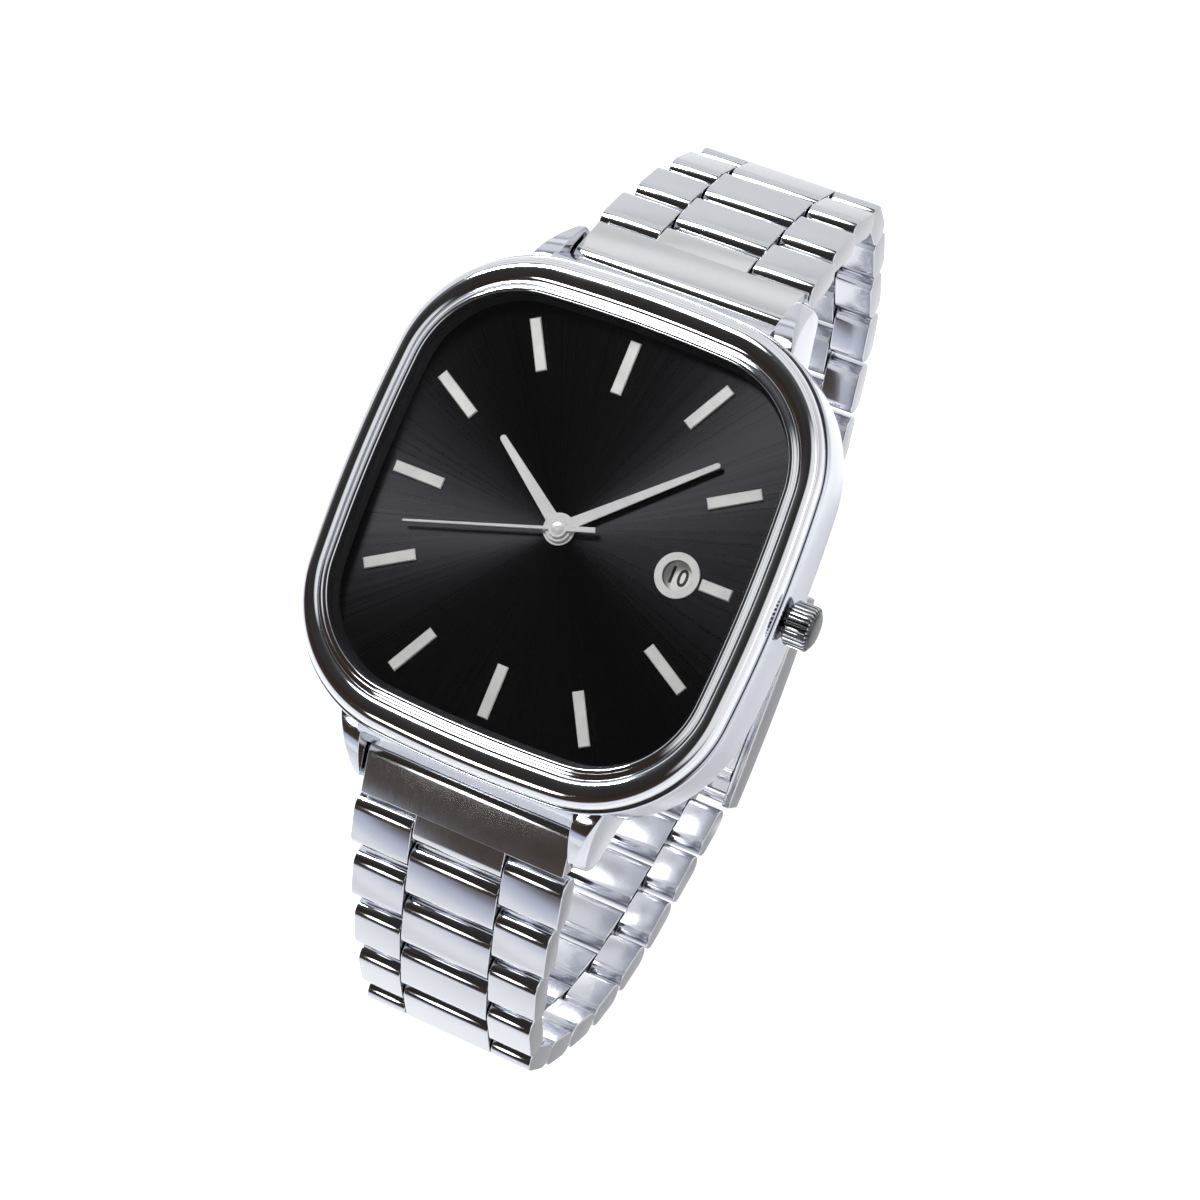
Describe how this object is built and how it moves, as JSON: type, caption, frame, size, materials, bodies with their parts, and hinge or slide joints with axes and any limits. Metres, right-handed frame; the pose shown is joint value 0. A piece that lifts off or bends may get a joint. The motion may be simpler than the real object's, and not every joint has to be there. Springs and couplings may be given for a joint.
{
  "type": "square wristwatch",
  "caption": "Square-cased quartz wristwatch with baton hour marks, a round date window and a three-row link bracelet closed in a loop by a fold-over clasp.",
  "frame": {"origin": "centre of the outer face of the case back, on the axis of the hands", "axes": "+X towards three o'clock and the crown, +Y towards twelve o'clock, +Z out of the dial; the bracelet loop hangs below the case on -Z"},
  "size_m": [0.0438, 0.0848, 0.0637],
  "materials": {
    "case_steel": "polished sides, satin between the lugs",
    "bezel_steel": "mirror polished",
    "back_steel": "satin",
    "crystal_glass": "polished mineral glass",
    "rehaut_black": "satin black",
    "dial_black": "sunray brushed under clear lacquer",
    "applied_metal": "polished",
    "hand_metal": "polished",
    "link_steel": "satin faces with polished long edges",
    "clasp_steel": "satin",
    "blade_steel": "polished",
    "crown_steel": "polished",
    "bar_steel": "turned",
    "seal_rubber": "matte",
    "holder_plastic": "moulded",
    "plate_nickel": "nickelled brass",
    "wheel_brass": "stamped and turned",
    "step_plastic": "moulded",
    "date_plastic": "printed white",
    "board_green": "solder mask",
    "coil_copper": "enamelled copper wire",
    "stator_iron": "soft iron sheet",
    "cell_steel": "nickelled"
  },
  "bodies": {
    "case": {"case_middle": "case_steel", "bezel": "bezel_steel", "crystal": "crystal_glass", "rehaut_ring": "rehaut_black", "dial": "dial_black", "hour_markers": "applied_metal", "date_frame": "applied_metal", "case_back": "back_steel", "seal_rings": "seal_rubber", "spring_bars": "bar_steel", "movement_holder": "holder_plastic", "main_plate": "plate_nickel", "train_bridge": "plate_nickel", "circuit_board": "board_green", "coil": "coil_copper", "stator": "stator_iron", "battery": "cell_steel", "movement_screws": "bar_steel"},
    "second": {"second_hand": "hand_metal", "second_wheel": "wheel_brass"},
    "minute": {"minute_hand": "hand_metal", "centre_wheel": "wheel_brass"},
    "hour": {"hour_hand": "hand_metal", "hour_wheel": "wheel_brass"},
    "third": {"third_wheel": "wheel_brass"},
    "motion": {"minute_wheel": "wheel_brass"},
    "intermediate": {"intermediate_wheel": "step_plastic"},
    "rotor": {"rotor": "step_plastic"},
    "date": {"date_wheel": "date_plastic"},
    "lever": {"setting_lever": "bar_steel"},
    "crown": {"crown": "crown_steel", "stem": "bar_steel"},
    "end_link_06": {"end_link_06": "link_steel"},
    "link_06_01": {"link_06_01": "link_steel"},
    "link_06_02": {"link_06_02": "link_steel"},
    "link_06_03": {"link_06_03": "link_steel"},
    "link_06_04": {"link_06_04": "link_steel"},
    "link_06_05": {"link_06_05": "link_steel"},
    "link_06_06": {"link_06_06": "link_steel"},
    "link_06_07": {"link_06_07": "link_steel"},
    "link_06_08": {"link_06_08": "link_steel"},
    "link_06_09": {"link_06_09": "link_steel"},
    "link_06_10": {"link_06_10": "link_steel"},
    "link_06_11": {"link_06_11": "link_steel"},
    "link_06_12": {"link_06_12": "link_steel"},
    "end_link_12": {"end_link_12": "link_steel"},
    "link_12_01": {"link_12_01": "link_steel"},
    "link_12_02": {"link_12_02": "link_steel"},
    "link_12_03": {"link_12_03": "link_steel"},
    "link_12_04": {"link_12_04": "link_steel"},
    "link_12_05": {"link_12_05": "link_steel"},
    "link_12_06": {"link_12_06": "link_steel"},
    "link_12_07": {"link_12_07": "link_steel"},
    "link_12_08": {"link_12_08": "link_steel"},
    "link_12_09": {"link_12_09": "link_steel"},
    "link_12_10": {"link_12_10": "link_steel"},
    "link_12_11": {"link_12_11": "link_steel"},
    "clasp_cover": {"clasp_cover": "clasp_steel"},
    "clasp_fork": {"clasp_fork_blade": "blade_steel"},
    "clasp_tongue": {"clasp_tongue_blade": "blade_steel"}
  },
  "joints": [
    {"name": "crown_pull", "type": "slide", "parent": "case", "child": "lever", "axis": [1, 0, 0], "range_m": [0, 0.0012]},
    {"name": "crown_turn", "type": "hinge", "parent": "lever", "child": "crown", "pos_m": [0, 0, 0.0064], "axis": [1, 0, 0], "continuous": true},
    {"name": "second_turn", "type": "hinge", "parent": "case", "child": "second", "pos_m": [0, 0, 0.0086], "axis": [0, 0, -1], "continuous": true},
    {"name": "minute_turn", "type": "hinge", "parent": "case", "child": "minute", "pos_m": [0, 0, 0.0086], "axis": [0, 0, -1], "continuous": true},
    {"name": "hour_turn", "type": "hinge", "parent": "case", "child": "hour", "pos_m": [0, 0, 0.0086], "axis": [0, 0, -1], "continuous": true},
    {"name": "clasp_cover_hinge", "type": "hinge", "parent": "link_06_12", "child": "clasp_cover", "pos_m": [0, -0.01607, -0.05027], "axis": [-1, 0, 0], "range_deg": [0, 33.42]},
    {"name": "clasp_fork_hinge", "type": "hinge", "parent": "clasp_cover", "child": "clasp_fork", "pos_m": [0, 0.00505, -0.04789], "axis": [-1, 0, 0], "range_deg": [0, 110]},
    {"name": "clasp_tongue_hinge", "type": "hinge", "parent": "clasp_fork", "child": "clasp_tongue", "pos_m": [0, -0.01377, -0.05001], "axis": [1, 0, 0], "range_deg": [0, 150]},
    {"name": "end_link_06_hinge", "type": "hinge", "parent": "case", "child": "end_link_06", "pos_m": [0, -0.02315, 0.0031], "axis": [-1, 0, 0], "range_deg": [0, 29.5]},
    {"name": "link_06_01_hinge", "type": "hinge", "parent": "end_link_06", "child": "link_06_01", "pos_m": [0, -0.02798, 0.00037], "axis": [-1, 0, 0], "range_deg": [0, 7.5]},
    {"name": "link_06_02_hinge", "type": "hinge", "parent": "link_06_01", "child": "link_06_02", "pos_m": [0, -0.03269, -0.00318], "axis": [-1, 0, 0], "range_deg": [0, 4.5]},
    {"name": "link_06_03_hinge", "type": "hinge", "parent": "link_06_02", "child": "link_06_03", "pos_m": [0, -0.03711, -0.00709], "axis": [-1, 0, 0], "range_deg": [0, 7]},
    {"name": "link_06_04_hinge", "type": "hinge", "parent": "link_06_03", "child": "link_06_04", "pos_m": [0, -0.04102, -0.01151], "axis": [-1, 0, 0], "range_deg": [0, 9.5]},
    {"name": "link_06_05_hinge", "type": "hinge", "parent": "link_06_04", "child": "link_06_05", "pos_m": [0, -0.04415, -0.01652], "axis": [-1, 0, 0], "range_deg": [0, 36]},
    {"name": "link_06_06_hinge", "type": "hinge", "parent": "link_06_05", "child": "link_06_06", "pos_m": [0, -0.04374, -0.0224], "axis": [-1, 0, 0], "range_deg": [0, 12.5]},
    {"name": "link_06_07_hinge", "type": "hinge", "parent": "link_06_06", "child": "link_06_07", "pos_m": [0, -0.04206, -0.02806], "axis": [-1, 0, 0], "range_deg": [0, 5]},
    {"name": "link_06_08_hinge", "type": "hinge", "parent": "link_06_07", "child": "link_06_08", "pos_m": [0, -0.0399, -0.03355], "axis": [-1, 0, 0], "range_deg": [0, 17]},
    {"name": "link_06_09_hinge", "type": "hinge", "parent": "link_06_08", "child": "link_06_09", "pos_m": [0, -0.03622, -0.03816], "axis": [-1, 0, 0], "range_deg": [0, 12]},
    {"name": "link_06_10_hinge", "type": "hinge", "parent": "link_06_09", "child": "link_06_10", "pos_m": [0, -0.03167, -0.04192], "axis": [-1, 0, 0], "range_deg": [0, 10]},
    {"name": "link_06_11_hinge", "type": "hinge", "parent": "link_06_10", "child": "link_06_11", "pos_m": [0, -0.02654, -0.04482], "axis": [-1, 0, 0], "range_deg": [0, 1.5]},
    {"name": "link_06_12_hinge", "type": "hinge", "parent": "link_06_11", "child": "link_06_12", "pos_m": [0, -0.02133, -0.04759], "axis": [-1, 0, 0], "range_deg": [0, 1]},
    {"name": "end_link_12_hinge", "type": "hinge", "parent": "case", "child": "end_link_12", "pos_m": [0, 0.02315, 0.0031], "axis": [1, 0, 0], "range_deg": [0, 39.5]},
    {"name": "link_12_01_hinge", "type": "hinge", "parent": "end_link_12", "child": "link_12_01", "pos_m": [0, 0.02743, -0.00043], "axis": [1, 0, 0], "range_deg": [0, 6]},
    {"name": "link_12_02_hinge", "type": "hinge", "parent": "link_12_01", "child": "link_12_02", "pos_m": [0, 0.03157, -0.00464], "axis": [1, 0, 0], "range_deg": [0, 4.5]},
    {"name": "link_12_03_hinge", "type": "hinge", "parent": "link_12_02", "child": "link_12_03", "pos_m": [0, 0.03536, -0.00916], "axis": [1, 0, 0], "range_deg": [0, 11.5]},
    {"name": "link_12_04_hinge", "type": "hinge", "parent": "link_12_03", "child": "link_12_04", "pos_m": [0, 0.03818, -0.01434], "axis": [1, 0, 0], "range_deg": [0, 38.5]},
    {"name": "link_12_05_hinge", "type": "hinge", "parent": "link_12_04", "child": "link_12_05", "pos_m": [0, 0.03715, -0.02015], "axis": [1, 0, 0], "range_deg": [0, 16.5]},
    {"name": "link_12_06_hinge", "type": "hinge", "parent": "link_12_05", "child": "link_12_06", "pos_m": [0, 0.03452, -0.02543], "axis": [1, 0, 0], "range_deg": [0, 2.5]},
    {"name": "link_12_07_hinge", "type": "hinge", "parent": "link_12_06", "child": "link_12_07", "pos_m": [0, 0.03166, -0.03059], "axis": [1, 0, 0], "range_deg": [0, 18.5]},
    {"name": "link_12_08_hinge", "type": "hinge", "parent": "link_12_07", "child": "link_12_08", "pos_m": [0, 0.02731, -0.03458], "axis": [1, 0, 0], "range_deg": [0, 7.5]},
    {"name": "link_12_09_hinge", "type": "hinge", "parent": "link_12_08", "child": "link_12_09", "pos_m": [0, 0.02248, -0.03796], "axis": [1, 0, 0], "range_deg": [0, 1]},
    {"name": "link_12_10_hinge", "type": "hinge", "parent": "link_12_09", "child": "link_12_10", "pos_m": [0, 0.01758, -0.04126], "axis": [1, 0, 0], "range_deg": [0, 1]},
    {"name": "link_12_11_hinge", "type": "hinge", "parent": "link_12_10", "child": "link_12_11", "pos_m": [0, 0.01264, -0.04448], "axis": [1, 0, 0], "range_deg": [0, 1]},
    {"name": "date_turn", "type": "hinge", "parent": "case", "child": "date", "pos_m": [0, 0, 0.00765], "axis": [0, 0, -1], "continuous": true},
    {"name": "third_turn", "type": "hinge", "parent": "case", "child": "third", "pos_m": [0.00198, 0.00343, 0.00475], "axis": [0, 0, -1], "continuous": true},
    {"name": "minute_wheel_turn", "type": "hinge", "parent": "case", "child": "motion", "pos_m": [-0.0015, 0.0026, 0.0072], "axis": [0, 0, -1], "continuous": true},
    {"name": "intermediate_turn", "type": "hinge", "parent": "case", "child": "intermediate", "pos_m": [-0.00196, -0.00339, 0.00475], "axis": [0, 0, -1], "continuous": true},
    {"name": "rotor_turn", "type": "hinge", "parent": "case", "child": "rotor", "pos_m": [-0.00331, -0.00572, 0.00475], "axis": [0, 0, -1], "continuous": true}
  ],
  "couplings": [
    {"joint": "minute_turn", "follows": "second_turn", "ratio": 0.016667},
    {"joint": "hour_turn", "follows": "second_turn", "ratio": 0.0013889},
    {"joint": "third_turn", "follows": "second_turn", "ratio": -0.13333},
    {"joint": "minute_wheel_turn", "follows": "second_turn", "ratio": -0.0055556},
    {"joint": "intermediate_turn", "follows": "second_turn", "ratio": -7.5},
    {"joint": "rotor_turn", "follows": "second_turn", "ratio": 30},
    {"joint": "clasp_tongue_hinge", "follows": "clasp_fork_hinge", "ratio": 1.3636}
  ]
}
